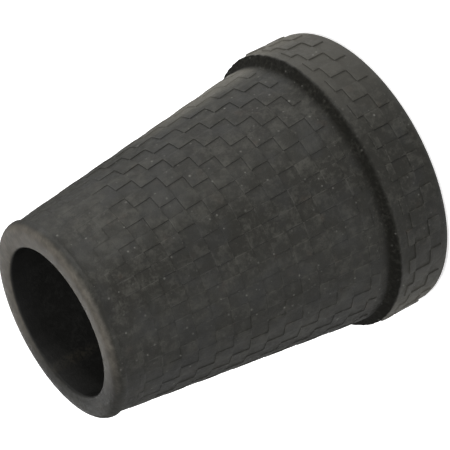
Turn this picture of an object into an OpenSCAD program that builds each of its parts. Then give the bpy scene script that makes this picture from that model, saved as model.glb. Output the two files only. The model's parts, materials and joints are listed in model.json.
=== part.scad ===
// Rubber cane tip: one moulded piece that stands on its sole, with a tapered body,
// a blind bore for the shaft, a rolled lip at the mouth and a round base flange.
// The origin is the centre of the sole and +Z runs up the bore axis to the mouth.

/* [Shaft bore] */
// Diameter of the bore, for a shaft of the same size
bore_d = 19; // [16:0.5:21]
// Thickness of the solid rubber between the bore's floor and the sole
sole_t = 10; // [8.5:0.5:20]
// Rounding of the bore's edge at the mouth
bore_edge_r = 0.35; // [0.1:0.05:0.6]

/* [Body] */
// Height from the sole to the mouth
body_h = 44.4; // [35:0.2:60]
// Diameter of the tapered body where it meets the lip
cone_top_d = 24.9; // [24:0.1:25.2]
// Diameter of the tapered body where it would meet the flange's shoulder
cone_base_d = 34.5; // [31:0.1:35]

/* [Lip] */
// Largest diameter of the rolled lip
lip_d = 25.3; // [25:0.1:27]
// Radius of the lip's outer rounding, which is also about the lip's height
lip_round_r = 1.2; // [0.8:0.1:1.6]
// Height of the straight wall below the lip's rounding
lip_land_h = 0.1; // [0.05:0.05:0.5]

/* [Base flange] */
// Diameter of the flange
flange_d = 36.6; // [36:0.2:46]
// Height of the flange's outer top edge, before its rounding
flange_h = 7.4; // [5:0.1:8]
// Slope of the flange's shoulder, rising towards the body
shoulder_deg = 37; // [10:1:45]
// Rounding of the flange's outer top edge
flange_edge_r = 0.3; // [0.1:0.05:0.4]
// Fillet between the shoulder and the tapered body
shoulder_fillet_r = 0.3; // [0.1:0.05:0.6]
// Rounding of the sole's edge
sole_edge_r = 0.9; // [0.3:0.1:2]

/* [Hidden] */
$fn = 96;

// Room that a cutting shape reaches past the surface it cuts
cut_over = 1;

bore_r = bore_d / 2;
lip_r = lip_d / 2;
flange_r = flange_d / 2;
cone_top_r = cone_top_d / 2;
cone_base_r = cone_base_d / 2;

// The lip starts where its straight wall starts
lip_base_h = body_h - lip_round_r - lip_land_h;

// Taper of the body: radius lost per unit of height, and the same as an angle
taper = (cone_base_r - cone_top_r) / (lip_base_h - flange_h);
taper_deg = atan(taper);

// Radius of the tapered body at a height, by its straight generator
function cone_r(h) = cone_base_r - taper * (h - flange_h);

// Centre of the circle that rounds the flange's outer top edge
edge_x = flange_r - flange_edge_r;
edge_y = flange_h + flange_edge_r * (tan(shoulder_deg) - 1 / cos(shoulder_deg));

// Centre of the fillet: it touches the sloping shoulder and the tapered body
fillet_y = (flange_h
    + (flange_r - cone_r(0) - shoulder_fillet_r / cos(taper_deg)) * tan(shoulder_deg)
    + shoulder_fillet_r / cos(shoulder_deg)) / (1 - taper * tan(shoulder_deg));
fillet_x = cone_r(fillet_y) + shoulder_fillet_r / cos(taper_deg);

// Outline of the body's half section up to the foot of the lip, corners still straight
module outer_outline() {
    polygon([
        [0, 0],
        [flange_r - sole_edge_r, 0],
        [flange_r, sole_edge_r],
        [flange_r, edge_y],
        [edge_x + flange_edge_r * sin(shoulder_deg), edge_y + flange_edge_r * cos(shoulder_deg)],
        [fillet_x - shoulder_fillet_r * sin(shoulder_deg),
            fillet_y - shoulder_fillet_r * cos(shoulder_deg)],
        [fillet_x - shoulder_fillet_r * cos(taper_deg),
            fillet_y - shoulder_fillet_r * sin(taper_deg)],
        [cone_top_r, lip_base_h],
        [0, lip_base_h]
    ]);
}

// Half section of the tapered body with its flange: rounded edges and shoulder fillet
module body_section() {
    difference() {
        union() {
            outer_outline();
            translate([flange_r - sole_edge_r, sole_edge_r])
                circle(r = sole_edge_r);
            translate([edge_x, edge_y])
                circle(r = flange_edge_r);
        }
        translate([fillet_x, fillet_y])
            circle(r = shoulder_fillet_r);
    }
}

// Half section of the rolled lip
module lip_section() {
    translate([0, lip_base_h])
        square([lip_r, lip_land_h]);
    translate([0, body_h - lip_round_r])
        square([lip_r - lip_round_r, lip_round_r]);
    intersection() {
        translate([lip_r - lip_round_r, body_h - lip_round_r])
            circle(r = lip_round_r);
        translate([0, body_h - lip_round_r])
            square([lip_r, lip_round_r]);
    }
}

// Half section of what leaves the bore's mouth edge rounded
module bore_edge_section() {
    translate([0, body_h - bore_edge_r])
        difference() {
            square([bore_r + bore_edge_r, bore_edge_r + cut_over]);
            translate([bore_r + bore_edge_r, 0])
                circle(r = bore_edge_r);
        }
}

// The whole tip: turned section, less its blind bore
module cane_tip() {
    color([0.13, 0.13, 0.125])
        difference() {
            rotate_extrude()
                union() {
                    body_section();
                    lip_section();
                }
            translate([0, 0, sole_t])
                cylinder(h = body_h - sole_t + cut_over, r = bore_r);
            rotate_extrude()
                bore_edge_section();
        }
}

cane_tip();
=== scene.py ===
"""Rubber cane tip standing on its sole: the moulded tip, its floor, its light and its camera."""

import json
import logging
import math
import random
from collections.abc import Callable
from dataclasses import dataclass, field
from enum import Enum

import bpy
from mathutils import Matrix, Vector, noise

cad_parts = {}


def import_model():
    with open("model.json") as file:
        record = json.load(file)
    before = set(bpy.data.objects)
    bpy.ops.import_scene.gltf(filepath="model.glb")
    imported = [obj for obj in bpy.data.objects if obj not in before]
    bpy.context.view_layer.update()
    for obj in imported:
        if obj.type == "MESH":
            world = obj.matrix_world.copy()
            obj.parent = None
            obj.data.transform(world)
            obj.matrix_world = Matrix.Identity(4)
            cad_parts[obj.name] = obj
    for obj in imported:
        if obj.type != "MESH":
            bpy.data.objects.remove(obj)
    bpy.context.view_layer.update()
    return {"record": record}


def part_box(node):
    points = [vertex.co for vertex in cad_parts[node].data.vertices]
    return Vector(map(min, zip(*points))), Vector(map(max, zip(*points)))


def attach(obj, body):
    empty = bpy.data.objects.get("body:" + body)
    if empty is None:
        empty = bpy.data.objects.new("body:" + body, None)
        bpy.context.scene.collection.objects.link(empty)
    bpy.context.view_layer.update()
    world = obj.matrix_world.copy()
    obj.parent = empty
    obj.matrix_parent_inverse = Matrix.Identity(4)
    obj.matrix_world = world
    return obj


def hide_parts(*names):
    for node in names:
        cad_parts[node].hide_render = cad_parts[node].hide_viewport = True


LOG = logging.getLogger("cane_tip")

MM = 0.001
FULL_TURN = 2 * math.pi
SHARP_FROM = math.radians(38)
PLAIN_TONE = 0.5
NODE = "cane_tip"
BODY = "root"

Colour = tuple[float, float, float, float]
Point = tuple[float, float]
Socket = bpy.types.NodeSocket


class SkinValue(Enum):
    """What the skin tells the rubber's finish at each of its points."""

    RAISED = "raised"
    TONE = "check_tone"
    # Painted shade in the lee of the raised checks, at the foot of their walls.
    WALL_FOOT = "wall_foot"


@dataclass(frozen=True)
class TipSizes:
    """Sizes of the tip's turned section in metres, as the solid has them.

    Args:
        height: From the sole to the mouth.
        bore_radius: Radius of the bore's wall.
        bore_floor: Height of the bore's floor.
        flange_radius: Radius of the flange over its raised checks.
        bore_edge: Rounding of the bore's edge at the mouth.
        lip_radius: Largest radius of the lip.
        lip_round: Height of the lip's rounded part.
        lip_land: Height of its straight part under that.
        taper_top_radius: Radius of the tapered wall at the lip, over its raised checks.
        taper_base_radius: The same where the wall would meet the flange's top edge.
        flange_height: Height of the flange's top edge, before its rounding.
        shoulder_slope: Slope of the shoulder, rising towards the taper, in radians.
        flange_edge: Rounding of the flange's top edge.
        shoulder_fillet: Fillet between the taper and the shoulder.
        sole_edge: Rounding of the sole's edge.
        lip_dish: How far the lip's inner part lies under its crest.
        lip_fall: How far the lip falls from its crest to where its rounding starts.
        lip_crown: Radius of the lip's outer rounding.
        lip_lean: Slope of the lip where its rounding starts, in degrees.
    """

    height: float
    bore_radius: float
    bore_floor: float
    flange_radius: float
    bore_edge: float = 0.35 * MM
    lip_radius: float = 12.65 * MM
    lip_round: float = 1.2 * MM
    lip_land: float = 0.1 * MM
    taper_top_radius: float = 12.45 * MM
    taper_base_radius: float = 17.25 * MM
    flange_height: float = 7.4 * MM
    shoulder_slope: float = math.radians(37)
    flange_edge: float = 0.3 * MM
    shoulder_fillet: float = 0.3 * MM
    sole_edge: float = 0.9 * MM
    lip_dish: float = 0.11 * MM
    lip_fall: float = 0.05 * MM
    lip_crown: float = 1.15 * MM
    lip_lean: float = 10.0

    @classmethod
    def from_frame(cls, record: dict) -> "TipSizes":
        """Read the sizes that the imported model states.

        Args:
            record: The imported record.

        Returns:
            The sizes of the section.
        """
        low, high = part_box(NODE)
        bore = next(m for m in record["mounts"] if m["kind"] == "bore")
        radius = bore["dims"]["r_mm"] * MM
        edge = cls.bore_edge
        floor = high.z - edge - bore["dims"]["length_mm"] * MM
        return cls(high.z - low.z, radius, floor, (high.x - low.x) / 2)

    @property
    def lip_foot(self) -> float:
        """Height at which the lip stands on the tapered wall."""
        return self.height - self.lip_round - self.lip_land

    @property
    def taper(self) -> float:
        """Radius that the tapered wall loses per unit of height."""
        run = self.lip_foot - self.flange_height
        return (self.taper_base_radius - self.taper_top_radius) / run

    def taper_radius(self, height: float) -> float:
        """Radius of the tapered wall over its raised checks, at a height."""
        return self.taper_base_radius - self.taper * (height - self.flange_height)


def _held(value: float) -> float:
    """Value held between 0 and 1."""
    return min(1.0, max(0.0, value))


@dataclass(frozen=True)
class Sample:
    """One line of points across a band of checks.

    Args:
        place: Height or angle of the line.
        across: Place within the check, from -1 at one edge to 1 at the other.
        firmness: 1 inside a check, less on the wall between two checks.
        window: 1 inside the band, 0 on the plain wall beside it.
    """

    place: float
    index: int
    across: float
    firmness: float = 1.0
    window: float = 1.0


@dataclass(frozen=True)
class CheckBand:
    """Moulded checks round a wall: every other square stands proud, like a draughtboard.

    Args:
        around: Number of checks in one turn, always even.
        first_edge: Angle of one edge between checks, in radians.
        edges: Heights of the edges between rows, lowest first, the band's own ends included.
        raised_when: Remainder of row plus column, halved, at which a check is raised.
        seed: Seed of the small differences between checks.
        relief: How far a raised check stands over the ground, in metres.
        rubbed: Share of the relief that is gone at the middle of the rubbed side.
        rubbed_side: Angle of the middle of the rubbed side, in radians.
        rubbed_reach: Angle from there to where the relief is whole, in radians.
        scuffed: Share of the relief that is gone at the mouth.
        scuff_from: Height at which the scuffing starts.
        scuff_run: Height over which it grows to its full share.
        scuff_sooner: How much lower it starts on the +X side.
        twist: Angle that the columns turn per metre of height, in radians.
        twist_level: Height at which the columns stand at first_edge.
        wall_half: Half the width of the wall between two rows.
        round_half: Distance from the wall's middle to where its rounding ends.
        wall_share: wall_half as a share of a check's width, for the walls between columns.
        round_share: round_half as such a share.
        wall_firmness: How firmly a point on a wall is up or down, 1 being wholly.
        end_window: How far up a raised point at the band's own end is.
        mouth_foot_full: Cosine of the angle at which walls that face the mouth get their painted shade
            in full.
        lee_fall: How fast the painted shade thins out round the axis, away from the +X side.
        least_lee: Least share of the painted shade at the foot of a wall between columns.
        foot_level: Painted shade at the middle of a wall, before it is held at 1.
        foot_fall: How much of it is lost from there to where the wall's rounding ends.
        inner_shares: Places of the inner points of a check, as shares of its width.
    """

    around: int
    first_edge: float
    edges: tuple[float, ...]
    raised_when: int
    seed: int
    relief: float = 0.135 * MM
    rubbed: float = 0.0
    rubbed_side: float = math.radians(243)
    rubbed_reach: float = math.radians(58)
    scuffed: float = 0.0
    scuff_from: float = 34.8 * MM
    scuff_run: float = 8.0 * MM
    scuff_sooner: float = 5.0 * MM
    twist: float = 0.0
    twist_level: float = 0.0
    wall_half: float = 0.03 * MM
    round_half: float = 0.125 * MM
    wall_share: float = 0.0155
    round_share: float = 0.062
    wall_firmness: float = 0.82
    end_window: float = 0.9
    mouth_foot_full: float = 0.6
    lee_fall: float = 0.9
    least_lee: float = 0.35
    foot_level: float = 1.16
    foot_fall: float = 0.66
    inner_shares: tuple[float, ...] = (0.22, 0.5, 0.78)

    def angle_samples(self) -> list[Sample]:
        """Lines along the axis, one turn of them.

        Returns:
            The lines by rising angle.
        """
        pitch = FULL_TURN / self.around
        samples = []
        for column in range(self.around):
            start = self.first_edge + column * pitch
            shares = [
                (self.wall_share, self.wall_firmness),
                (self.round_share, 1.0),
                *((share, 1.0) for share in self.inner_shares),
                (1 - self.round_share, 1.0),
                (1 - self.wall_share, self.wall_firmness),
            ]
            for share, firmness in shares:
                samples.append(Sample(start + share * pitch, column, 2 * share - 1, firmness))
        return samples

    def depth(self, angle: float, height: float) -> float:
        """How far the ground lies under the raised checks.

        Args:
            angle: Angle round the axis, in radians.
            height: Height over the sole.

        Returns:
            A depth in metres, least in the middle of the rubbed side and towards the mouth.
        """
        off = (angle - self.rubbed_side + math.pi) % FULL_TURN - math.pi
        share = min(1.0, abs(off) / self.rubbed_reach)
        left = self.relief * (1 - self.rubbed * math.cos(share * math.pi / 2) ** 2)
        return left * (1 - self.scuff(angle, height))

    def scuff(self, angle: float, height: float) -> float:
        """Share of the relief that is scuffed away, which grows towards the mouth.

        Args:
            angle: Angle round the axis, in radians.
            height: Height over the sole.

        Returns:
            A share from 0 to scuffed. It starts to grow lowest on the +X side.
        """
        start = self.scuff_from - self.scuff_sooner * max(0.0, math.cos(angle))
        share = _held((height - start) / self.scuff_run)
        return self.scuffed * share * share * (3 - 2 * share)

    def turn(self, height: float) -> float:
        """Angle that the columns have turned at a height, held beyond the band's ends."""
        level = min(max(height, self.edges[0]), self.edges[-1])
        return self.twist * (level - self.twist_level)

    def height_samples(self) -> list[Sample]:
        """Rings round the axis from the band's top to its foot.

        Returns:
            The rings by falling height, with the plain wall's nearest ring at both ends.
        """
        last = len(self.edges) - 2
        foot, top = self.edges[0], self.edges[-1]
        samples = [
            Sample(top + self.round_half, last, 1.0, window=0.0),
            Sample(top + self.wall_half, last, 1.0, window=1 - self.end_window),
        ]
        for row in range(last, -1, -1):
            low, high = self.edges[row], self.edges[row + 1]
            pitch = high - low
            wall, rounding = self.wall_half / pitch, self.round_half / pitch
            samples.append(self._wall_ring(high - self.wall_half, row, 1 - 2 * wall, row == last))
            samples.append(Sample(high - self.round_half, row, 1 - 2 * rounding))
            for share in reversed(self.inner_shares):
                place = low + (rounding + share * (1 - 2 * rounding)) * pitch
                samples.append(Sample(place, row, 2 * (place - low) / pitch - 1))
            samples.append(Sample(low + self.round_half, row, 2 * rounding - 1))
            samples.append(self._wall_ring(low + self.wall_half, row, 2 * wall - 1, row == 0))
        samples.append(Sample(foot - self.wall_half, 0, -1.0, window=1 - self.end_window))
        samples.append(Sample(foot - self.round_half, 0, -1.0, window=0.0))
        return samples

    def _wall_ring(self, place: float, row: int, across: float, at_end: bool) -> Sample:
        """Ring beside a row's edge.

        Args:
            place: Height of the ring.
            row: Number of the row.
            across: Place within the row, from -1 at its foot to 1 at its top.
            at_end: Whether the edge is the band's own end, and not a wall between two rows.

        Returns:
            The ring.
        """
        if at_end:
            return Sample(place, row, across, window=self.end_window)
        return Sample(place, row, across, self.wall_firmness)

    def raised(self, ring: Sample, line: Sample) -> float:
        """How far a point is up between the ground and a check's top.

        Args:
            ring: The ring of the point.
            line: The line of the point.

        Returns:
            0 on the ground and 1 on a check's top.
        """
        sign = 1.0 if self._is_raised(ring, line) else -1.0
        firm = sign * ring.firmness * line.firmness
        return ring.window * (1 + firm) / 2

    def foot(self, ring: Sample, line: Sample, angle: float) -> float:
        """How much painted shade a ground point gets near the foot of a raised check's wall, from 0 to
        1.

        Args:
            ring: The ring of the point.
            line: The line of the point.
            angle: Angle of the point round the axis, in radians.

        Returns:
            1 at the foot of a wall that faces back round the axis or, on one side, the mouth.
        """
        raised = self._is_raised(ring, line)
        left = 1 - self.scuff(angle, ring.place)
        mouth_side = _held(math.cos(angle) / self.mouth_foot_full) * left**3
        if ring.window < 1:
            beyond = ring.place - self.edges[-1]
            if not raised or beyond <= 0:
                return 0.0
            return mouth_side * self._nearness(beyond / self.round_half)
        if raised:
            return 0.0
        pitch = self.edges[ring.index + 1] - self.edges[ring.index]
        above = (1 + ring.across) * pitch / 2 / self.round_half
        beside = (1 - line.across) / 2 / self.round_share
        under = mouth_side * self._nearness(above) if ring.index > 0 else 0.0
        # The painted shade is fullest on the +X side and thins out round the axis.
        lee = min(1.0, max(self.least_lee, 1 + self.lee_fall * math.cos(angle)))
        return max(left * lee * self._nearness(beside), under)

    def _is_raised(self, ring: Sample, line: Sample) -> bool:
        return (ring.index + line.index) % 2 == self.raised_when

    def _nearness(self, away: float) -> float:
        """1 at a wall's foot, a half where its rounding ends and 0 from well beyond that."""
        return _held(self.foot_level - self.foot_fall * away)


@dataclass
class CheckMood:
    """The small differences of each check: how deep it sits, how it leans and its tone.

    Args:
        band: The band of checks.
        sink: How far the lowest check sits under the others.
        lean: How far a leaning check's edge moves.
        crown: How far a check's edges lie under its middle.
        worn: How far a check is rubbed back at its edges where the rubber is most ragged.
        worn_middle: Share of that at the check's middle.
        table: For each row and column: how deep it sits, its two leans and its tone.
    """

    band: CheckBand
    sink: float = 0.012 * MM
    lean: float = 0.006 * MM
    crown: float = 0.004 * MM
    worn: float = 0.03 * MM
    worn_middle: float = 0.3
    table: dict[tuple[int, int], tuple[float, float, float, float]] = field(default_factory=dict)

    def __post_init__(self) -> None:
        """Draw one set of differences for each check of the band."""
        draw = random.Random(self.band.seed)
        for row in range(len(self.band.edges) - 1):
            for column in range(self.band.around):
                self.table[row, column] = (
                    draw.random(),
                    draw.uniform(-1, 1),
                    draw.uniform(-1, 1),
                    draw.random(),
                )

    def drop(self, ring: Sample, line: Sample, raised: float, rub: float) -> float:
        """How far a check's surface lies under the level of a perfect one.

        Args:
            ring: The ring of the point.
            line: The line of the point.
            raised: The point's own height, 0 on the ground and 1 on a check.
            rub: How much the rubber is rubbed away there, from 0 to 1.

        Returns:
            A depth in metres, never negative.
        """
        sink, lean_u, lean_v, _ = self.table[ring.index, line.index]
        edge = 1 - (1 - ring.across**4) * (1 - line.across**4)
        lean = self.lean * (lean_u * ring.across + lean_v * line.across)
        rubbed = self.worn * rub * (self.worn_middle + (1 - self.worn_middle) * edge)
        return raised * max(0.0, self.sink * sink + self.crown * edge + lean + rubbed)

    def tone(self, ring: Sample, line: Sample) -> float:
        return self.table[ring.index, line.index][3]


@dataclass
class Skin:
    """Closed skin turned round the Z axis: rings of points, each joined to the ring before it.

    Args:
        points: Places of the points.
        faces: Numbers of each face's points.
        values: What the finish reads, at each point.
        last_ring: Angle and number of each point of the last ring.
    """

    points: list[tuple[float, float, float]] = field(default_factory=list)
    faces: list[tuple[int, ...]] = field(default_factory=list)
    values: dict[SkinValue, list[float]] = field(
        default_factory=lambda: {value: [] for value in SkinValue}
    )
    last_ring: list[tuple[float, int]] = field(default_factory=list)

    def add_point(
        self,
        place: tuple[float, float, float],
        raised: float = 0.0,
        tone: float = PLAIN_TONE,
        foot: float = 0.0,
    ) -> int:
        """Add one point with what the finish reads there.

        Args:
            place: Place of the point.
            raised: Relief at the point, 0 on the ground and 1 on a check's top.
            tone: Tone of its check, from 0 to 1.
            foot: Painted shade at a wall's foot, from 0 to 1.

        Returns:
            The number of the point.
        """
        self.points.append(place)
        self.values[SkinValue.RAISED].append(raised)
        self.values[SkinValue.TONE].append(tone)
        self.values[SkinValue.WALL_FOOT].append(foot)
        return len(self.points) - 1

    def add_centre(self, height: float) -> None:
        """Put a single point on the axis, and close the last ring on it if there is one.

        Args:
            height: Height of the point.
        """
        centre = self.add_point((0.0, 0.0, height))
        ring = self.last_ring
        if ring:
            for (_, a), (_, b) in zip(ring, ring[1:] + ring[:1]):
                self.faces.append((a, centre, b))
        self.last_ring = [(0.0, centre)]

    def add_ring(
        self,
        angles: list[float],
        radii: list[float],
        height: float,
        raised: list[float] | None = None,
        tones: list[float] | None = None,
        feet: list[float] | None = None,
    ) -> None:
        """Add a ring and join it to the one before it.

        Args:
            angles: Rising angles of the ring's points, within one turn.
            radii: Radius of each point.
            height: Height of the ring.
            raised: Relief at each point, 0 where it isn't given.
            tones: Tone at each point, middling where it isn't given.
            feet: Painted shade at a wall's foot at each point, 0 where it isn't given.
        """
        ring = []
        for i, (angle, radius) in enumerate(zip(angles, radii)):
            number = self.add_point(
                (radius * math.cos(angle), radius * math.sin(angle), height),
                raised[i] if raised else 0.0,
                tones[i] if tones else PLAIN_TONE,
                feet[i] if feet else 0.0,
            )
            ring.append((angle, number))
        before, self.last_ring = self.last_ring, ring
        if len(before) == 1:
            centre = before[0][1]
            for (_, a), (_, b) in zip(ring, ring[1:] + ring[:1]):
                self.faces.append((centre, a, b))
        elif before and len(before) == len(ring):
            self._join_equal(before, ring)
        elif before:
            self._join_unequal(before, ring)

    def _join_equal(self, before: list[tuple[float, int]], ring: list[tuple[float, int]]) -> None:
        """Join two rings of as many points with four-sided faces.

        Args:
            before: Angle and number of each point of the ring before.
            ring: The same of the new ring.
        """
        count = len(ring)
        for i in range(count):
            j = (i + 1) % count
            self.faces.append((before[i][1], ring[i][1], ring[j][1], before[j][1]))

    def _join_unequal(self, before: list[tuple[float, int]], ring: list[tuple[float, int]]) -> None:
        """Join two rings of different counts with triangles, always taking the nearer next point.

        Args:
            before: Angle and number of each point of the ring before.
            ring: The same of the new ring.
        """
        start = min(range(len(ring)), key=lambda k: abs(self._gap(ring[k][0], before[0][0])))
        ring = ring[start:] + ring[:start]
        first = before[0][0]
        turned = [(first + self._gap(ring[0][0], first), ring[0][1])]
        for angle, number in ring[1:]:
            turned.append((turned[0][0] + (angle - ring[0][0]) % FULL_TURN, number))
        i = j = 0
        total_i, total_j = len(before), len(turned)
        while i < total_i or j < total_j:
            next_i = before[(i + 1) % total_i][0] + (FULL_TURN if i + 1 >= total_i else 0.0)
            next_j = turned[(j + 1) % total_j][0] + (FULL_TURN if j + 1 >= total_j else 0.0)
            a, b = before[i % total_i][1], turned[j % total_j][1]
            if j >= total_j or (i < total_i and next_i <= next_j):
                self.faces.append((a, b, before[(i + 1) % total_i][1]))
                i += 1
            else:
                self.faces.append((a, b, turned[(j + 1) % total_j][1]))
                j += 1

    @staticmethod
    def _gap(angle: float, other: float) -> float:
        """Signed angle from one direction to another, within half a turn."""
        return (angle - other + math.pi) % FULL_TURN - math.pi

    def make(self, name: str) -> bpy.types.Object:
        """Turn the skin into an object that carries the skin's values.

        Args:
            name: Name of the object and its mesh.

        Returns:
            The object, linked to the scene.
        """
        mesh = bpy.data.meshes.new(name)
        mesh.from_pydata(self.points, [], self.faces)
        mesh.validate()
        mesh.shade_smooth()
        mesh.set_sharp_from_angle(angle=SHARP_FROM)
        for value, numbers in self.values.items():
            layer = mesh.attributes.new(value.value, "FLOAT", "POINT")
            layer.data.foreach_set("value", numbers)
        piece = bpy.data.objects.new(name, mesh)
        bpy.context.scene.collection.objects.link(piece)
        return piece


@dataclass(frozen=True)
class Ramp:
    """Smooth step: while its input goes from start to end, it goes from first to last.

    Args:
        start: Input at which the step starts.
        end: Input at which it ends, which may be the lower of the two.
        first: What it gives before the step.
        last: What it gives after the step.
    """

    start: float
    end: float
    first: float = 0.0
    last: float = 1.0


@dataclass(frozen=True)
class Clouds:
    """One noise: how wide its patches are, and how finely they are broken up.

    Args:
        size: Width of the patches, in metres.
        detail: How many times they are broken up.
        rough: Weight of each finer break against the one before.
    """

    size: float
    detail: float = 3.0
    rough: float = 0.6


class NodeSheet:
    """Short way to lay out and join a material's or a world's nodes."""

    def __init__(self, tree: bpy.types.NodeTree) -> None:
        """Empty the tree and keep it."""
        self.tree = tree
        tree.nodes.clear()

    def add(self, kind: str, inputs: dict | None = None, **settings: object) -> bpy.types.Node:
        """Add one node.

        Args:
            kind: The node's type without its ShaderNode prefix.
            inputs: Socket name or number to a value or another node's output.
            settings: Properties of the node.

        Returns:
            The node.
        """
        node = self.tree.nodes.new("ShaderNode" + kind)
        for key, value in settings.items():
            setattr(node, key, value)
        for key, value in (inputs or {}).items():
            if isinstance(value, bpy.types.NodeSocket):
                self.tree.links.new(value, node.inputs[key])
            else:
                node.inputs[key].default_value = value
        return node

    def math(self, operation: str, *values: Socket | float) -> Socket:
        """Result of a Math node on numbers or sockets."""
        return self.add("Math", dict(enumerate(values)), operation=operation).outputs[0]

    def product(self, first: Socket, *others: Socket) -> Socket:
        """All the sockets multiplied together.

        Args:
            first: The socket to start from.
            others: What it is multiplied by, one after the other.

        Returns:
            The product.
        """
        for other in others:
            first = self.math("MULTIPLY", first, other)
        return first

    def held(self, value: Socket) -> Socket:
        """Value held between 0 and 1."""
        return self.math("MINIMUM", self.math("MAXIMUM", value, 0.0), 1.0)

    def ramp(self, value: Socket, ramp: Ramp) -> Socket:
        """Value led through a Ramp.

        Args:
            value: The value.
            ramp: Where the step lies and what it leads to.

        Returns:
            The stepped value.
        """
        ends = (value, ramp.start, ramp.end, ramp.first, ramp.last)
        inputs = dict(enumerate(ends))
        return self.add("MapRange", inputs, interpolation_type="SMOOTHSTEP").outputs[0]

    def noise(self, place: Socket, clouds: Clouds) -> Socket:
        """Noise at a place.

        Args:
            place: Where the noise is read.
            clouds: How wide its patches are and how finely broken up.

        Returns:
            The noise, from 0 to 1.
        """
        inputs = {
            "Vector": place,
            "Scale": 1 / clouds.size,
            "Detail": clouds.detail,
            "Roughness": clouds.rough,
        }
        return self.add("TexNoise", inputs).outputs[0]

    def carried(self, value: SkinValue) -> Socket:
        """One of the values that the skin carries at its points."""
        return self.add("Attribute", attribute_name=value.value).outputs["Fac"]

    def seen(self) -> Socket:
        """Whether a ray shows the background that it meets.

        Returns:
            1 on rays from the camera, off a gloss or through glass, and 0 on the rest.
        """
        path = self.add("LightPath").outputs
        shown = self.math("MAXIMUM", path["Is Camera Ray"], path["Is Glossy Ray"])
        return self.math("MAXIMUM", shown, path["Is Transmission Ray"])

    def mix(self, share: Socket, first: Socket | Colour, second: Socket | Colour) -> Socket:
        """Colour between two colours or sockets."""
        inputs = {0: share, 6: first, 7: second}
        return self.add("Mix", inputs, data_type="RGBA").outputs[2]


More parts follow.
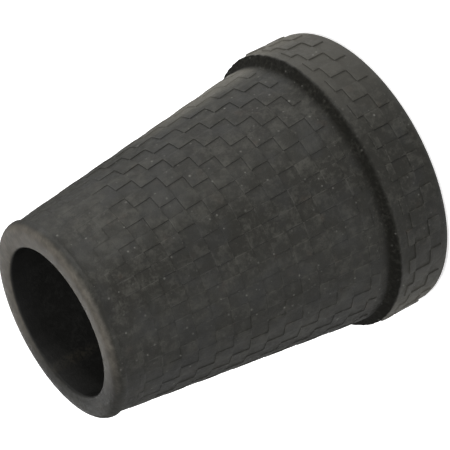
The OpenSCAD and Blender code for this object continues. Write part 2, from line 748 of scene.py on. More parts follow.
@dataclass(frozen=True)
class MouldedRubber:
    """Black moulded rubber: nearly matt, grained, blotchy, worn on the lip and specked with dust.

    Its colour also carries painted light: painted shade in the shoulder's crease, in the lee of the
    raised checks and on two sides, and painted highlights on the flange's +X half and flanks, low on
    the taper's +X side, on the lip's +X side and deeper down the bore.

    Wear runs from 0, the darkest rubber, to 1, the palest, and it also carries that painted shade on
    the two sides. The values named for wear are the weights of what it is mixed from. The Ramps say
    where a noise, a height or a side lets a tone through. Those named for a shaded side or for the
    painted rim highlight read the cosine of a point's angle round the bore axis, which is 1 on the +X
    side. Bearings run from +X towards +Y.

    Args:
        lip_from: Height above which the rubber is worn like the lip.
        bore_radius: Radius within which the rubber is dull like the bore.
        shoulder: Heights between which the rubber is rough like the shoulder and darkened by painted
            shade.
    """

    lip_from: float
    bore_radius: float
    shoulder: tuple[float, float]
    name: str = "black_rubber"

    ground: Colour = (0.0070, 0.0068, 0.0054, 1.0)
    worn: Colour = (0.0210, 0.0206, 0.0176, 1.0)
    cool: Colour = (0.0105, 0.0108, 0.0107, 1.0)
    brown: Colour = (0.0240, 0.0180, 0.0140, 1.0)
    lip: Colour = (0.0765, 0.0695, 0.0590, 1.0)
    # Bore wall: dark at the mouth and paler deeper down, painted light that evens out the light falling
    # off into the bore.
    mouth: Colour = (0.0043, 0.0043, 0.0040, 1.0)
    inside: Colour = (0.0255, 0.0252, 0.0234, 1.0)
    scrape: Colour = (0.0470, 0.0425, 0.0325, 1.0)
    # Painted shade, in the crease at the shoulder and in the lee of the raised checks.
    painted_shade: Colour = (0.0044, 0.0043, 0.0036, 1.0)
    # Painted light: paler on the flange's +X half and -X flank and on the taper's foot on the +X side.
    painted_light: Colour = (0.0345, 0.0330, 0.0285, 1.0)
    # Painted rim highlight on the flange's two flanks and low on the taper's +X side.
    painted_rim_light: Colour = (0.0620, 0.0590, 0.0510, 1.0)
    dust: Colour = (0.090, 0.090, 0.082, 1.0)

    bloom: Clouds = Clouds(4.5 * MM, 2.0, 0.5)
    patch: Clouds = Clouds(1.3 * MM)
    mottle: Clouds = Clouds(0.42 * MM)
    grain: Clouds = Clouds(0.16 * MM, 2.0)
    stain: Clouds = Clouds(2.1 * MM, 2.0, 0.5)
    chill: Clouds = Clouds(4.5 * MM)
    second_from: tuple[float, float, float] = (0.31, 0.17, 0.53)

    plain_wear: float = 0.26
    raised_wear: float = 0.10
    tone_wear: float = 0.18
    bloom_wear: float = 0.6
    patch_wear: float = 2.9
    mottle_wear: float = 2.6
    grain_wear: float = 1.0
    rubbed_wear: float = 0.75
    rubbed_wall: Ramp = Ramp(0.5, 0.9)
    rubbed_top: Ramp = Ramp(0.925, 1.0, 1.0, 0.0)
    rubbed_patch: Ramp = Ramp(0.42, 0.62, 0.1, 1.0)
    # Darker towards this bearing, near -Y.
    darker_bearing: float = math.radians(255)
    darker_side_ramp: Ramp = Ramp(9.0 * MM, 15.0 * MM, 0.0, -0.16)
    # Painted shade: darker high on the +X side and on the -X side.
    shaded_side: Ramp = Ramp(0.8, 0.93, 0.0, -0.22)
    shaded_height: Ramp = Ramp(20.0 * MM, 30.0 * MM)
    shaded_far_side: Ramp = Ramp(-0.86, -0.96, 0.0, -0.2)

    stained: Ramp = Ramp(0.62, 0.78, 0.0, 0.3)
    chilled: Ramp = Ramp(0.45, 0.68, 0.0, 0.5)
    # Painted shade in the lee of the raised checks, broken up by the patches.
    lee_shade_foot: Ramp = Ramp(0.0, 1.0, 0.0, 0.8)
    lee_shade_patch: Ramp = Ramp(0.35, 0.6, 0.35, 1.0)

    lip_patch: Ramp = Ramp(0.3, 0.7, 0.3, 0.6)
    lip_mottle: Ramp = Ramp(0.3, 0.7, 0.1, 0.4)
    # The lip's pale wear thins away from this bearing: painted light on the lip's +X side.
    lip_painted_light_bearing: float = math.radians(-20)
    lip_painted_light_side: Ramp = Ramp(-9.0 * MM, 0.0, 0.03, 1.0)

    # How far down the bore's painted light grows in, and how the wear breaks it up.
    bore_fade: float = 3.6 * MM
    bore_wear: Ramp = Ramp(0.0, 1.0, 0.6, 1.0)
    scrape_bearing: float = math.radians(119.5)
    scrape_half: float = 1.15 * MM
    scrape_whole_to: float = 2.0 * MM
    scrape_gone_from: float = 8.0 * MM
    scrape_mottle: Ramp = Ramp(0.38, 0.6, 0.15, 1.0)
    scrape_deep: Ramp = Ramp(0.0, 1.0, 0.2, 1.0)

    soft: float = 0.25 * MM
    lip_soft: float = 0.8 * MM
    # Painted shade in the crease between the taper and the shoulder, starting higher on the -Y side.
    crease_shade_higher: Ramp = Ramp(-10.0 * MM, -17.0 * MM, 0.0, -0.25 * MM)
    crease_shade_reach: float = 2.0 * MM
    crease_shade_thinning: float = 2.2
    crease_shade_mottle: Ramp = Ramp(0.35, 0.65, 1.0, 0.55)
    # Where the painted light lies.
    painted_light_side: Ramp = Ramp(0.0, 20.0 * MM)
    painted_light_far_side: Ramp = Ramp(-11.0 * MM, -17.5 * MM, 0.0, 0.8)
    painted_light_foot_side: Ramp = Ramp(14.3 * MM, 16.8 * MM)
    painted_light_foot_reach: float = 1.5 * MM
    painted_light_share: float = 0.8
    # Where the painted rim highlight lies.
    rim_light_flange: Ramp = Ramp(0.88, 0.985, 0.0, 0.8)
    rim_light_flange_soft: float = 0.1 * MM
    rim_light_taper: Ramp = Ramp(0.91, 0.985, 0.0, 0.8)
    rim_light_taper_height: Ramp = Ramp(32.0 * MM, 14.0 * MM)
    rim_light_taper_soft: float = 1.0 * MM

    dust_pitch: float = 0.88 * MM
    dust_radius: float = 0.17 * MM
    dust_least: float = 0.4
    dust_rarity: float = 2.0

    roughness: Ramp = Ramp(0.3, 0.7, 0.48, 0.66)
    dust_roughness: float = 0.85
    shoulder_roughness: float = 0.8
    bump_distance: float = 0.07 * MM
    bump_grain: float = 0.5
    bump_strength: float = 0.45
    shoulder_bump: float = 0.5
    specular: float = 0.11
    shoulder_dulling: float = 0.08
    lip_dulling: float = 0.3
    veil: Ramp = Ramp(0.45, 0.85, 1.0, 0.12)

    def material(self) -> bpy.types.Material:
        """Build the material's nodes.

        Returns:
            The finished material.
        """
        made = bpy.data.materials.new(self.name)
        made.use_nodes = True
        RubberNodes(self, NodeSheet(made.node_tree)).lay_out()
        return made


class RubberNodes:
    """The nodes of one moulded rubber: where a point lies, its noises, its zones and its shader."""

    def __init__(self, rubber: MouldedRubber, sheet: NodeSheet) -> None:
        """Lay out what every later step reads.

        Args:
            rubber: The finish with its colours, Ramps and sizes.
            sheet: The material's empty nodes.
        """
        self.rubber, self.sheet = rubber, sheet
        self.place = sheet.add("TexCoord").outputs["Object"]
        split = sheet.add("SeparateXYZ", {0: self.place}).outputs
        self.x, self.y, self.height = split["X"], split["Y"], split["Z"]
        level = sheet.add("CombineXYZ", {0: self.x, 1: self.y}).outputs[0]
        self.radius = sheet.add("VectorMath", {0: level}, operation="LENGTH").outputs["Value"]
        self.cosine = sheet.math("DIVIDE", self.x, self.radius)
        self.raised = sheet.carried(SkinValue.RAISED)
        self.tone = sheet.carried(SkinValue.TONE)
        # Painted shade in the lee of the raised checks, as the skin carries it.
        self.wall_foot = sheet.carried(SkinValue.WALL_FOOT)
        self.bloom = sheet.noise(self.place, rubber.bloom)
        self.patch = sheet.noise(self.place, rubber.patch)
        self.mottle = sheet.noise(self.place, rubber.mottle)
        self.grain = sheet.noise(self.place, rubber.grain)

    def lay_out(self) -> None:
        """Lay out the colour, the roughness, the bump and the gloss, and join them to the shader."""
        sheet, rubber = self.sheet, self.rubber
        on_lip, in_bore, on_shoulder = self._on_lip(), self._in_bore(), self._on_shoulder()
        dust = sheet.math("MULTIPLY", self._dust(), sheet.math("SUBTRACT", 1.0, in_bore))

        wear = self._wear_and_shade()
        colour = self._rubber_colour(wear)
        colour = sheet.mix(sheet.math("MULTIPLY", on_lip, self._lip_share()), colour, rubber.lip)
        colour = sheet.mix(in_bore, colour, self._bore_colour(wear))
        # Painted shade in the crease at the shoulder, broken up by the mottle.
        crease_shade_share = sheet.math("MULTIPLY", on_shoulder, sheet.ramp(self.mottle, rubber.crease_shade_mottle))
        colour = sheet.mix(crease_shade_share, colour, rubber.painted_shade)
        colour = sheet.mix(dust, colour, rubber.dust)

        rough = sheet.ramp(self.mottle, rubber.roughness)
        zones = ((dust, rubber.dust_roughness), (on_shoulder, rubber.shoulder_roughness))
        for zone, roughness in zones:
            rough = sheet.math("MAXIMUM", rough, sheet.math("MULTIPLY", zone, roughness))

        bump = self._bump(on_shoulder)
        shader = sheet.add(
            "BsdfPrincipled",
            {
                "Base Color": colour,
                "Roughness": rough,
                "Normal": bump,
                "Specular IOR Level": self._gloss(bump, on_lip, on_shoulder),
            },
        )
        sheet.add("OutputMaterial", {"Surface": shader.outputs[0]})

    def _towards(self, bearing: float) -> Socket:
        """How far the point lies from the axis towards a bearing, in radians from +X towards +Y."""
        across = self.sheet.math("MULTIPLY", self.y, math.sin(bearing))
        return self.sheet.math("MULTIPLY_ADD", self.x, math.cos(bearing), across)

    def _wear_and_shade(self) -> Socket:
        """How worn the rubber is at the point, darker towards -Y and with painted shade on two sides.

        Returns:
            The wear with the darker -Y side and the painted shade, before it is held between 0 and 1.
        """
        sheet, rubber = self.sheet, self.rubber
        wear = sheet.math("MULTIPLY_ADD", self.raised, rubber.raised_wear, rubber.plain_wear)
        mixture = (
            (self.tone, rubber.tone_wear),
            (self.bloom, rubber.bloom_wear),
            (self.patch, rubber.patch_wear),
            (self.mottle, rubber.mottle_wear),
            (self.grain, rubber.grain_wear),
        )
        for value, weight in mixture:
            wear = sheet.math("ADD", wear, sheet.math("MULTIPLY_ADD", value, weight, -weight / 2))
        edge = sheet.product(
            sheet.ramp(self.raised, rubber.rubbed_wall),
            sheet.ramp(self.raised, rubber.rubbed_top),
            sheet.ramp(self.patch, rubber.rubbed_patch),
        )
        wear = sheet.math("MULTIPLY_ADD", edge, rubber.rubbed_wear, wear)
        # Darker towards a bearing near -Y.
        darker_side = sheet.ramp(self._towards(rubber.darker_bearing), rubber.darker_side_ramp)
        # Painted shade: darker high on the +X side and all down the -X side.
        shaded = sheet.product(
            sheet.ramp(self.cosine, rubber.shaded_side), sheet.ramp(self.height, rubber.shaded_height)
        )
        far_side = sheet.ramp(self.cosine, rubber.shaded_far_side)
        for loss in (darker_side, shaded, far_side):
            wear = sheet.math("ADD", wear, loss)
        return wear

    def _rubber_colour(self, wear: Socket) -> Socket:
        """Colour of the taper and the flange, with stains, painted shade in the relief and painted
        light on the paler sides.

        Args:
            wear: How worn the rubber is at the point, painted shade on two sides included.

        Returns:
            The colour.
        """
        sheet, rubber = self.sheet, self.rubber
        second = sheet.add("VectorMath", {0: self.place, 1: rubber.second_from}, operation="ADD")
        stain = sheet.noise(second.outputs[0], rubber.stain)
        chill = sheet.noise(second.outputs[0], rubber.chill)
        # Painted shade in the lee of the raised checks, broken up by the patches.
        lee_shade_share = sheet.product(
            sheet.ramp(self.wall_foot, rubber.lee_shade_foot), sheet.ramp(self.patch, rubber.lee_shade_patch)
        )
        colour = sheet.mix(sheet.held(wear), rubber.ground, rubber.worn)
        colour = sheet.mix(sheet.ramp(stain, rubber.stained), colour, rubber.brown)
        colour = sheet.mix(sheet.ramp(chill, rubber.chilled), colour, rubber.cool)
        colour = sheet.mix(lee_shade_share, colour, rubber.painted_shade)
        # Painted light on the flange's +X half and -X flank and the taper's foot on the +X side.
        painted_light_share = sheet.math("MULTIPLY", self._on_painted_light(), rubber.painted_light_share)
        colour = sheet.mix(painted_light_share, colour, rubber.painted_light)
        # Painted rim highlight on the flange's flanks and low on the taper's +X side.
        return sheet.mix(self._on_painted_rim_light(), colour, rubber.painted_rim_light)

    def _lip_share(self) -> Socket:
        """How far the lip's pale colour covers the rubber.

        Returns:
            A share, least on the side away from the bearing of the lip's painted light.
        """
        sheet, rubber = self.sheet, self.rubber
        blotched = sheet.math(
            "ADD", sheet.ramp(self.patch, rubber.lip_patch), sheet.ramp(self.mottle, rubber.lip_mottle)
        )
        # Painted light: the lip's pale colour is fullest on its +X side.
        return sheet.product(blotched, sheet.ramp(self._towards(rubber.lip_painted_light_bearing), rubber.lip_painted_light_side))

    def _bore_colour(self, wear: Socket) -> Socket:
        """Colour of the bore's wall: dark at the mouth, paler below as painted light, with one pale
        scrape.

        Args:
            wear: How worn the rubber is at the point, painted shade on two sides included.

        Returns:
            The colour.
        """
        sheet, rubber = self.sheet, self.rubber
        fade = Ramp(rubber.lip_from, rubber.lip_from - rubber.bore_fade)
        # Painted light: paler deeper down the bore.
        deep = sheet.product(sheet.ramp(self.height, fade), sheet.ramp(wear, rubber.bore_wear))
        wall = sheet.mix(deep, rubber.mouth, rubber.inside)
        scraped = sheet.product(self._scrape(), sheet.ramp(deep, rubber.scrape_deep))
        return sheet.mix(scraped, wall, rubber.scrape)

    def _scrape(self) -> Socket:
        """Share of the pale scrape that runs down the bore's wall from the mouth.

        Returns:
            The share, 0 beside the scrape and below it.
        """
        sheet, rubber = self.sheet, self.rubber
        beside = sheet.math("ABSOLUTE", self._towards(rubber.scrape_bearing + FULL_TURN / 4))
        facing = self._towards(rubber.scrape_bearing)
        reach = Ramp(
            rubber.lip_from - rubber.scrape_gone_from, rubber.lip_from - rubber.scrape_whole_to
        )
        return sheet.product(
            sheet.ramp(beside, Ramp(rubber.scrape_half, 0.0)),
            sheet.ramp(facing, Ramp(0.0, rubber.bore_radius / 2)),
            sheet.ramp(self.height, reach),
            sheet.ramp(self.mottle, rubber.scrape_mottle),
        )

    def _on_lip(self) -> Socket:
        """1 on the lip and 0 below it."""
        low = self.rubber.lip_from
        return self.sheet.ramp(self.height, Ramp(low, low + self.rubber.lip_soft))

    def _in_bore(self) -> Socket:
        """1 in the bore and 0 outside it."""
        wall = self.rubber.bore_radius
        return self.sheet.ramp(self.radius, Ramp(wall + self.rubber.soft, wall))

    def _on_shoulder(self) -> Socket:
        """Where the rubber is rough like the shoulder and gets the crease's painted shade.

        Returns:
            1 on the shoulder, thinning out up the taper. It starts higher up on the -Y side.
        """
        sheet, rubber = self.sheet, self.rubber
        low, high = rubber.shoulder
        level = sheet.math("ADD", self.height, sheet.ramp(self.y, rubber.crease_shade_higher))
        above = sheet.ramp(level, Ramp(low - rubber.soft, low + rubber.soft))
        below = sheet.ramp(self.height, Ramp(high + rubber.crease_shade_reach, high - rubber.soft))
        return sheet.product(above, sheet.math("POWER", below, rubber.crease_shade_thinning))

    def _on_painted_light(self) -> Socket:
        """Where the painted light lies: on the flange's two sides and the taper's foot on the +X side.

        Returns:
            1 there and 0 elsewhere.
        """
        sheet, rubber = self.sheet, self.rubber
        low, high = rubber.shoulder
        sides = sheet.math(
            "MAXIMUM", sheet.ramp(self.x, rubber.painted_light_side), sheet.ramp(self.x, rubber.painted_light_far_side)
        )
        flange = Ramp(low + rubber.soft / 2, low - rubber.soft / 2)
        foot = Ramp(high, high + rubber.painted_light_foot_reach)
        return sheet.math(
            "MAXIMUM",
            sheet.product(sheet.ramp(self.height, flange), sides),
            sheet.product(sheet.ramp(self.height, foot), sheet.ramp(self.x, rubber.painted_light_foot_side)),
        )

    def _on_painted_rim_light(self) -> Socket:
        """Share of the painted rim highlight, on the flange's two flanks and low on the taper's +X
        side.

        Returns:
            The share, 0 elsewhere.
        """
        sheet, rubber = self.sheet, self.rubber
        low, high = rubber.shoulder
        flange = Ramp(low + rubber.rim_light_flange_soft, low - rubber.rim_light_flange_soft)
        foot = Ramp(high, high + rubber.rim_light_taper_soft)
        return sheet.math(
            "MAXIMUM",
            sheet.product(
                sheet.ramp(sheet.math("ABSOLUTE", self.cosine), rubber.rim_light_flange),
                sheet.ramp(self.height, flange),
            ),
            sheet.product(
                sheet.ramp(self.cosine, rubber.rim_light_taper),
                sheet.ramp(self.height, rubber.rim_light_taper_height),
                sheet.ramp(self.height, foot),
            ),
        )

    def _dust(self) -> Socket:
        """Where the specks of dust lie.

        Returns:
            Up to 1 on a speck, more on some than on others, and 0 between them.
        """
        sheet, rubber = self.sheet, self.rubber
        dots = sheet.add("TexVoronoi", {"Vector": self.place, "Scale": 1 / rubber.dust_pitch})
        radius = rubber.dust_radius / rubber.dust_pitch
        draw = sheet.add("SeparateColor", {0: dots.outputs["Color"]}).outputs
        reach = sheet.math("MULTIPLY_ADD", draw[1], radius, radius * rubber.dust_least)
        away = sheet.math("DIVIDE", dots.outputs["Distance"], reach)
        weight = sheet.math("POWER", draw[0], rubber.dust_rarity)
        return sheet.product(sheet.ramp(away, Ramp(0.0, 1.0, 1.0, 0.0)), weight)

    def _bump(self, on_shoulder: Socket) -> Socket:
        """Normal of the grained rubber, coarser on the shoulder.

        Args:
            on_shoulder: 1 on the shoulder.

        Returns:
            The normal for the shader.
        """
        sheet, rubber = self.sheet, self.rubber
        relief = sheet.math("MULTIPLY_ADD", self.grain, rubber.bump_grain, self.mottle)
        strength = sheet.math(
            "MULTIPLY_ADD", on_shoulder, rubber.shoulder_bump, rubber.bump_strength
        )
        inputs = {"Strength": strength, "Distance": rubber.bump_distance, "Height": relief}
        return sheet.add("Bump", inputs).outputs[0]

    def _gloss(self, bump: Socket, on_lip: Socket, on_shoulder: Socket) -> Socket:
        """Specular level: duller on the lip and the shoulder, and veiled where the rubber turns away.

        Args:
            bump: Normal of the grained rubber.
            on_lip: 1 on the lip.
            on_shoulder: 1 on the shoulder.

        Returns:
            The level for the shader.
        """
        sheet, rubber = self.sheet, self.rubber
        edge_on = sheet.add("LayerWeight", {"Blend": 0.5, "Normal": bump}).outputs["Facing"]
        return sheet.product(
            sheet.math("MULTIPLY_ADD", on_shoulder, -rubber.shoulder_dulling, rubber.specular),
            sheet.math("MULTIPLY_ADD", on_lip, -rubber.lip_dulling, 1.0),
            sheet.ramp(edge_on, rubber.veil),
        )


@dataclass(frozen=True)
class Raggedness:
    """Unevenness of a moulded edge: coarse and fine bites round a middling wear.

    Args:
        middle: Wear where neither noise bites.
        coarse_size: Width of the coarse bites.
        coarse: Weight of the coarse bites.
        fine_size: Width of the fine bites.
        fine: Weight of the fine bites.
    """

    middle: float = 0.35
    coarse_size: float = 0.8 * MM
    coarse: float = 0.6
    fine_size: float = 0.33 * MM
    fine: float = 0.7

    def at(self, angle: float, radius: float, height: float) -> float:
        """How far the edge is worn back at a point.

        Args:
            angle: Angle of the point round the axis, in radians.
            radius: Its distance from the axis.
            height: Its height.

        Returns:
            0 where the edge is whole and 1 where it is worn back the most.
        """
        place = Vector((radius * math.cos(angle), radius * math.sin(angle), height))
        coarse = self.coarse * noise.noise(place / self.coarse_size)
        fine = self.fine * noise.noise(place / self.fine_size)
        return _held(self.middle + coarse + fine)


@dataclass
class CaneTip:
    """The whole tip: one skin turned round the bore axis, with its two bands of checks.

    Args:
        sizes: Sizes of the section.
        bore_rings: Number of steps up the bore's wall.
        sole_rings: Number of steps across the flat sole.
        edge_rag: How far the flange's top edge may be worn back.
        lip_rag: How far the lip may be worn back.
        ragged: The unevenness of the moulded edges.
        pale_lip_over: How far over the lip's foot its pale wear starts.
        crease_shade_below: How far under the flange's edge the painted shade of the shoulder's crease
            starts.
        crease_shade_top: Height of the shoulder's upper end, where that painted shade starts to thin
            out.
        taper_rows: Lowest edge of the taper's full rows, their pitch and their number.
        taper_ends: Heights at which the part rows below and above them end.
        flange_rows: Heights of the edges between the flange's rows.
    """

    sizes: TipSizes
    bore_rings: int = 9
    sole_rings: int = 7
    edge_rag: float = 0.16 * MM
    lip_rag: float = 0.03 * MM
    ragged: Raggedness = Raggedness()
    pale_lip_over: float = 0.55 * MM
    crease_shade_below: float = 0.04 * MM
    crease_shade_top: float = 8.35 * MM
    taper_rows: tuple[float, float, int] = (11.02 * MM, 2.285 * MM, 13)
    taper_ends: tuple[float, float] = (9.71 * MM, 41.35 * MM)
    flange_rows: tuple[float, ...] = (1.51 * MM, 3.19 * MM, 5.475 * MM, 6.38 * MM)

    def __post_init__(self) -> None:
        """Lay out the two bands of checks."""
        first, pitch, count = self.taper_rows
        low, high = self.taper_ends
        edges = (low, *(first + pitch * row for row in range(count + 1)), high)
        self.taper_checks = CheckBand(
            around=48,
            first_edge=math.radians(184.1),
            edges=edges,
            raised_when=0,
            seed=11,
            rubbed=0.35,
            scuffed=0.6,
            twist=math.radians(-0.073) / MM,
            twist_level=26.0 * MM,
        )
        self.flange_checks = CheckBand(
            around=54,
            first_edge=math.radians(185.47),
            edges=self.flange_rows,
            raised_when=1,
            seed=29,
            relief=0.2 * MM,
        )

    def build(self) -> bpy.types.Object:
        """Make the tip's mesh and dress it.

        Returns:
            The tip, riding on its body in place of the plain solid.
        """
        skin = Skin()
        taper, flange = self.taper_checks, self.flange_checks
        skin.add_centre(self.sizes.bore_floor)
        self._plain_rings(skin, taper, self._bore_outline())
        self._plain_rings(skin, taper, self._lip_outline(), self.lip_rag)
        self._plain_rings(skin, taper, self._crease_outline(), sunk=True)
        self._check_rings(skin, taper, self.sizes.taper_radius)
        self._plain_rings(skin, taper, self._shoulder_outline(), sunk=True)
        self._plain_rings(skin, flange, self._flange_edge_outline(), self.edge_rag)
        self._check_rings(skin, flange, lambda _: self.sizes.flange_radius)
        self._plain_rings(skin, flange, self._sole_outline())
        skin.add_centre(0.0)
        piece = skin.make("moulded_tip")
        finish = MouldedRubber(
            lip_from=self.sizes.lip_foot + self.pale_lip_over,
            bore_radius=self.sizes.bore_radius,
            shoulder=(self.sizes.flange_height - self.crease_shade_below, self.crease_shade_top),
        )
        piece.data.materials.append(finish.material())
        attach(piece, BODY)
        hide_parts(NODE)
        return piece

    @staticmethod
    def _arc(centre: Point, radius: float, start: float, end: float, steps: int) -> list[Point]:
        """Points of an arc in the section, both ends included.

        Args:
            centre: Centre of the arc.
            radius: Radius of the arc.
            start: Angle of its first point, in degrees.
            end: Angle of its last point, in degrees.
            steps: Number of steps between them.

        Returns:
            The points in order.
        """
        x, y = centre
        angles = [math.radians(start + (end - start) * step / steps) for step in range(steps + 1)]
        return [(x + radius * math.cos(angle), y + radius * math.sin(angle)) for angle in angles]

    def _plain_rings(
        self,
        skin: Skin,
        band: CheckBand,
        outline: list[Point],
        rag: float = 0.0,
        sunk: bool = False,
    ) -> None:
        """Add rings with no relief, on the lines of the band next to them.

        Args:
            skin: The skin that takes the rings.
            band: The band whose lines the rings follow.
            outline: Radius and height of each ring.
            rag: How far the ragged surface may lie inside the radius.
            sunk: Whether the rings lie on the ground, which is shallower on the rubbed side.
        """
        lines = band.angle_samples()
        for radius, height in outline:
            turn = band.turn(height)
            angles = [line.place + turn for line in lines]
            radii = [radius - rag * self.ragged.at(angle, radius, height) for angle in angles]
            if sunk:
                radii = [
                    r + band.relief - band.depth(angle, height) for r, angle in zip(radii, angles)
                ]
            skin.add_ring(angles, radii, height)

    def _check_rings(self, skin: Skin, band: CheckBand, level: Callable[[float], float]) -> None:
        """Add the rings of one band of checks.

        Args:
            skin: The skin that takes the rings.
            band: The band of checks.
            level: Function from a height to the radius over the raised checks.
        """
        lines = band.angle_samples()
        mood = CheckMood(band)
        for ring in band.height_samples():
            turn = band.turn(ring.place)
            angles = [line.place + turn for line in lines]
            raised = [band.raised(ring, line) for line in lines]
            top = level(ring.place)
            radii = []
            for angle, line, up in zip(angles, lines, raised):
                ground = band.depth(angle, ring.place) * (1 - up)
                drop = mood.drop(ring, line, up, self.ragged.at(angle, top, ring.place))
                radii.append(top - ground - drop)
            tones = [mood.tone(ring, line) for line in lines]
            feet = [band.foot(ring, line, angle) for line, angle in zip(lines, angles)]
            skin.add_ring(angles, radii, ring.place, raised, tones, feet)

    def _bore_outline(self) -> list[Point]:
        """Section of the bore's floor and wall.

        Returns:
            The points, from the floor's middle outwards and up.
        """
        s = self.sizes
        corner = 0.15 * MM
        points = [(s.bore_radius * share, s.bore_floor) for share in (0.3, 0.6, 0.85)]
        points += [
            (s.bore_radius - corner, s.bore_floor),
            (s.bore_radius, s.bore_floor),
            (s.bore_radius, s.bore_floor + corner),
        ]
        top = s.height - s.bore_edge
        low = s.bore_floor + corner
        for step in range(1, self.bore_rings):
            points.append((s.bore_radius, low + (top - low) * step / self.bore_rings))
        return points

    def _lip_outline(self) -> list[Point]:
        """Section of the bore's mouth edge and the lip.

        Returns:
            The points, from the bore outwards and down to the lip's under edge.
        """
        s = self.sizes
        steepest = math.radians(s.lip_lean)
        start = s.bore_radius + s.bore_edge
        run = 2 * s.lip_fall / math.tan(steepest)
        round_from = s.lip_radius - s.lip_crown
        end = round_from + s.lip_crown * math.sin(steepest)
        crest = end - run
        low = s.height - s.lip_fall - s.lip_crown * math.cos(steepest)
        points = self._arc((start, s.height - s.bore_edge - s.lip_dish), s.bore_edge, 180, 100, steps=6)
        for share in (0.1, 0.3, 0.55, 0.8):
            points.append((start + (crest - start) * share, s.height - s.lip_dish * (1 - share) ** 2))
        for share in (0.0, 0.35, 0.7):
            points.append((crest + run * share, s.height - s.lip_fall * share**2))
        points += self._arc((round_from, low), s.lip_crown, 90 - s.lip_lean, 0, steps=10)
        corner, corner_middle = 0.07 * MM, 0.02 * MM
        points += [
            (s.lip_radius - corner_middle, s.lip_foot + corner_middle),
            (s.lip_radius - corner, s.lip_foot),
        ]
        return points

    def _crease_outline(self) -> list[Point]:
        """Section of the crease under the lip and the plain wall below it.
        """
        s = self.sizes
        foot = s.lip_foot
        relief = self.taper_checks.relief
        wall = s.taper_radius(foot) - relief
        corner, corner_middle = (0.06 * MM, 0.07 * MM), (0.015 * MM, 0.02 * MM)
        points = [
            (wall + corner[0], foot),
            (wall + corner_middle[0], foot - corner_middle[1]),
            (wall, foot - corner[1]),
        ]
        top = self.taper_checks.edges[-1] + self.taper_checks.round_half
        for share in (0.35, 0.75):
            height = foot + (top - foot) * share
            points.append((s.taper_radius(height) - relief, height))
        return points

    def _shoulder_outline(self) -> list[Point]:
        """Section of the plain foot of the taper and the fillet onto the flange's shoulder.

        Returns:
            The points, from the checks down and outwards.
        """
        s = self.sizes
        lean = math.atan(s.taper)
        fillet = s.shoulder_fillet
        slope = math.tan(s.shoulder_slope)
        relief = self.taper_checks.relief
        fillet_out = fillet / math.cos(lean)
        reach = s.flange_radius - (s.taper_radius(0.0) - relief) - fillet_out
        rise = reach * slope + fillet / math.cos(s.shoulder_slope)
        height = (s.flange_height + rise) / (1 - s.taper * slope)
        centre = (s.taper_radius(height) - relief + fillet_out, height)
        start = self.taper_checks.edges[0] - self.taper_checks.round_half
        end = height - fillet * math.sin(lean)
        points = []
        for share in (0.35, 0.7, 0.92):
            place = start + (end - start) * share
            points.append((s.taper_radius(place) - relief, place))
        from_taper, to_shoulder = 180 + math.degrees(lean), 270 - math.degrees(s.shoulder_slope)
        points += self._arc(centre, fillet, from_taper, to_shoulder, steps=8)
        return points

    def _flange_edge_outline(self) -> list[Point]:
        """Section of the shoulder's outer part and the flange's rounded top edge.

        Returns:
            The points, outwards and down to the flange's checks.
        """
        s = self.sizes
        relief = self.flange_checks.relief
        radius = s.flange_radius - relief
        slope = math.tan(s.shoulder_slope)
        drop = s.flange_edge * (1 / math.cos(s.shoulder_slope) - slope)
        centre = (radius - s.flange_edge, s.flange_height + relief * slope - drop)
        from_shoulder = 90 - math.degrees(s.shoulder_slope)
        points = self._arc(centre, s.flange_edge, from_shoulder, 0, steps=7)
        top = self.flange_checks.edges[-1] + self.flange_checks.round_half
        points.append((radius, (points[-1][1] + top) / 2))
        return points

    def _sole_outline(self) -> list[Point]:
        """Section of the sole's rounded edge and the flat sole.

        Returns:
            The points, from the flange's checks down and in to near the axis.
        """
        s = self.sizes
        radius = s.flange_radius - self.flange_checks.relief
        points = self._arc((radius - s.sole_edge, s.sole_edge), s.sole_edge, 0, -90, steps=9)
        flat = radius - s.sole_edge
        for step in range(1, self.sole_rings):
            points.append((flat * (1 - step / self.sole_rings), 0.0))
        return points


@dataclass(frozen=True)
class Floor:
    """Plain pale floor that shows white round the tip and keeps its shadow.

    Args:
        radius: Radius of the disc.
        sides: Number of its sides.
        tint: Colour of the floor.
        depth: How far it lies under the sole.
        lift: Strength of its own white, from near the tip to far from it.
    """

    radius: float = 1.4
    sides: int = 96
    tint: Colour = (0.88, 0.88, 0.88, 1.0)
    depth: float = 0.02 * MM
    lift: Ramp = Ramp(0.28, 0.98, 0.6, 1.0)

    def build(self) -> bpy.types.Object:
        """Make the floor's disc and its material.

        Returns:
            The floor.
        """
        mesh = bpy.data.meshes.new("floor")
        rim = [
            (self.radius * math.cos(FULL_TURN * i / self.sides),
             self.radius * math.sin(FULL_TURN * i / self.sides), -self.depth)
            for i in range(self.sides)
        ]
        mesh.from_pydata(rim, [], [tuple(range(self.sides))])
        piece = bpy.data.objects.new("floor", mesh)
        bpy.context.scene.collection.objects.link(piece)
        made = bpy.data.materials.new("pale_floor")
        made.use_nodes = True
        sheet = NodeSheet(made.node_tree)
        place = sheet.add("TexCoord").outputs["Object"]
        away = sheet.add("VectorMath", {0: place}, operation="LENGTH").outputs["Value"]
        shade = sheet.add("BsdfDiffuse", {"Color": self.tint})
        strength = sheet.product(sheet.seen(), sheet.ramp(away, self.lift))
        glow = sheet.add("Emission", {"Strength": strength})
        both = sheet.add("AddShader", {0: shade.outputs[0], 1: glow.outputs[0]})
        sheet.add("OutputMaterial", {"Surface": both.outputs[0]})
        mesh.materials.append(made)
        return piece


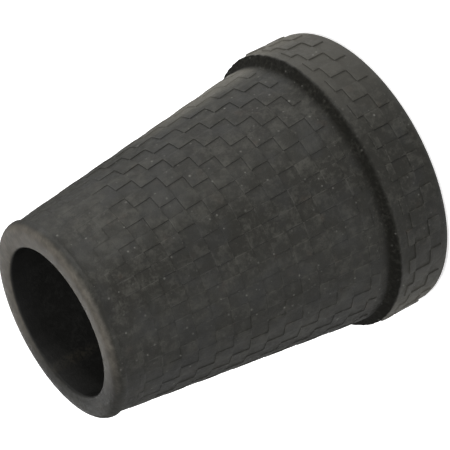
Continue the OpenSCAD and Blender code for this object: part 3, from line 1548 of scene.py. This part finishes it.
@dataclass(frozen=True)
class SoftLamp:
    """One soft panel lamp that points at the tip.

    Args:
        name: Name of the lamp.
        bearing: Direction of the lamp round the tip, in radians from +X towards +Y.
        rise: Angle of the lamp above the level of the tip's middle, in radians.
        power: Power in watts.
        tint: Colour of the light.
        reach: Distance from the place that the lamp points at.
        width: Width of the panel.
        depth: Its other side.
    """

    name: str
    bearing: float
    rise: float
    power: float
    tint: tuple[float, float, float] = (1.0, 1.0, 1.0)
    reach: float = 0.5
    width: float = 0.24
    depth: float = 0.12

    def build(self, target: Vector) -> bpy.types.Object:
        """Hang the lamp and point it at a place.

        Args:
            target: The place.

        Returns:
            The lamp.
        """
        lamp = bpy.data.lights.new(self.name, "AREA")
        lamp.shape = "RECTANGLE"
        lamp.size, lamp.size_y = self.width, self.depth
        lamp.energy, lamp.color = self.power, self.tint
        piece = bpy.data.objects.new(self.name, lamp)
        bpy.context.scene.collection.objects.link(piece)
        level = math.cos(self.rise)
        towards = Vector(
            (level * math.cos(self.bearing), level * math.sin(self.bearing), math.sin(self.rise))
        )
        piece.location = target + self.reach * towards
        piece.rotation_mode = "QUATERNION"
        piece.rotation_quaternion = (-towards).to_track_quat("-Z", "Y")
        return piece


@dataclass(frozen=True)
class Studio:
    """Soft room light, the lamps and the sky that is white where it is seen.

    Args:
        room_light: Strength of the sky on what it lights.
        lamps: The lamps.
    """

    room_light: float = 0.15
    lamps: tuple[SoftLamp, ...] = (
        SoftLamp("key_panel", math.radians(315), math.radians(6), 3.0, (1.0, 0.985, 0.955)),
        SoftLamp("left_fill", math.radians(225), math.radians(6), 1.6),
        SoftLamp("right_fill", math.radians(0), math.radians(6), 1.45),
        SoftLamp("back_panel", math.radians(90), math.radians(8), 0.75),
        SoftLamp("top_fill", math.radians(270), math.radians(76), 2.4),
    )

    def build(self, target: Vector) -> None:
        """Set the world and hang the lamps.

        Args:
            target: The place that the lamps point at.
        """
        world = bpy.data.worlds.new("room")
        bpy.context.scene.world = world
        world.use_nodes = True
        sheet = NodeSheet(world.node_tree)
        strength = sheet.math("MULTIPLY_ADD", sheet.seen(), 1 - self.room_light, self.room_light)
        back = sheet.add("Background", {"Color": (1, 1, 1, 1), "Strength": strength})
        sheet.add("OutputWorld", {"Surface": back.outputs[0]})
        for lamp in self.lamps:
            lamp.build(target)


@dataclass(frozen=True)
class TiltedCamera:
    """Camera above the mouth's level, turned about its own axis so that the tip lies slanting.

    Args:
        place: Where the camera is, in metres.
        pitch: Angle of the view below the horizon, in radians.
        roll: Turn of the camera about its view, in radians.
        lens: Focal length for a 36 mm sensor, in millimetres.
    """

    place: tuple[float, float, float] = (0.00101, -0.25898, 0.14414)
    pitch: float = math.radians(25.74)
    roll: float = math.radians(-117.56)
    lens: float = 192.0

    def build(self) -> bpy.types.Object:
        """Make the camera and give it to the scene.

        Returns:
            The camera.
        """
        data = bpy.data.cameras.new("camera")
        data.lens, data.sensor_width = self.lens, 36.0
        data.clip_start, data.clip_end = 0.02, 20.0
        piece = bpy.data.objects.new("camera", data)
        bpy.context.scene.collection.objects.link(piece)
        look = Vector((0.0, math.cos(self.pitch), -math.sin(self.pitch)))
        level = Vector((1.0, 0.0, 0.0))
        upright = level.cross(look)
        right = level * math.cos(self.roll) + upright * math.sin(self.roll)
        up = right.cross(look)
        turn = Matrix((right, up, -look)).transposed().to_4x4()
        piece.matrix_world = Matrix.Translation(self.place) @ turn
        bpy.context.scene.camera = piece
        return piece


def main() -> None:
    """Build the tip, its floor, its light and its camera."""
    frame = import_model()
    scene = bpy.context.scene
    scene.view_settings.view_transform = "Standard"
    sizes = TipSizes.from_frame(frame["record"])
    tip = CaneTip(sizes).build()
    LOG.info("%s: %d points, %d faces", tip.name, len(tip.data.vertices), len(tip.data.polygons))
    floor = Floor().build()
    LOG.info("%s: radius %.2f m", floor.name, Floor.radius)
    Studio().build(Vector((0.0, 0.0, sizes.height / 2)))
    TiltedCamera().build()


if __name__ == "__main__":
    logging.basicConfig(level=logging.INFO)
    main()
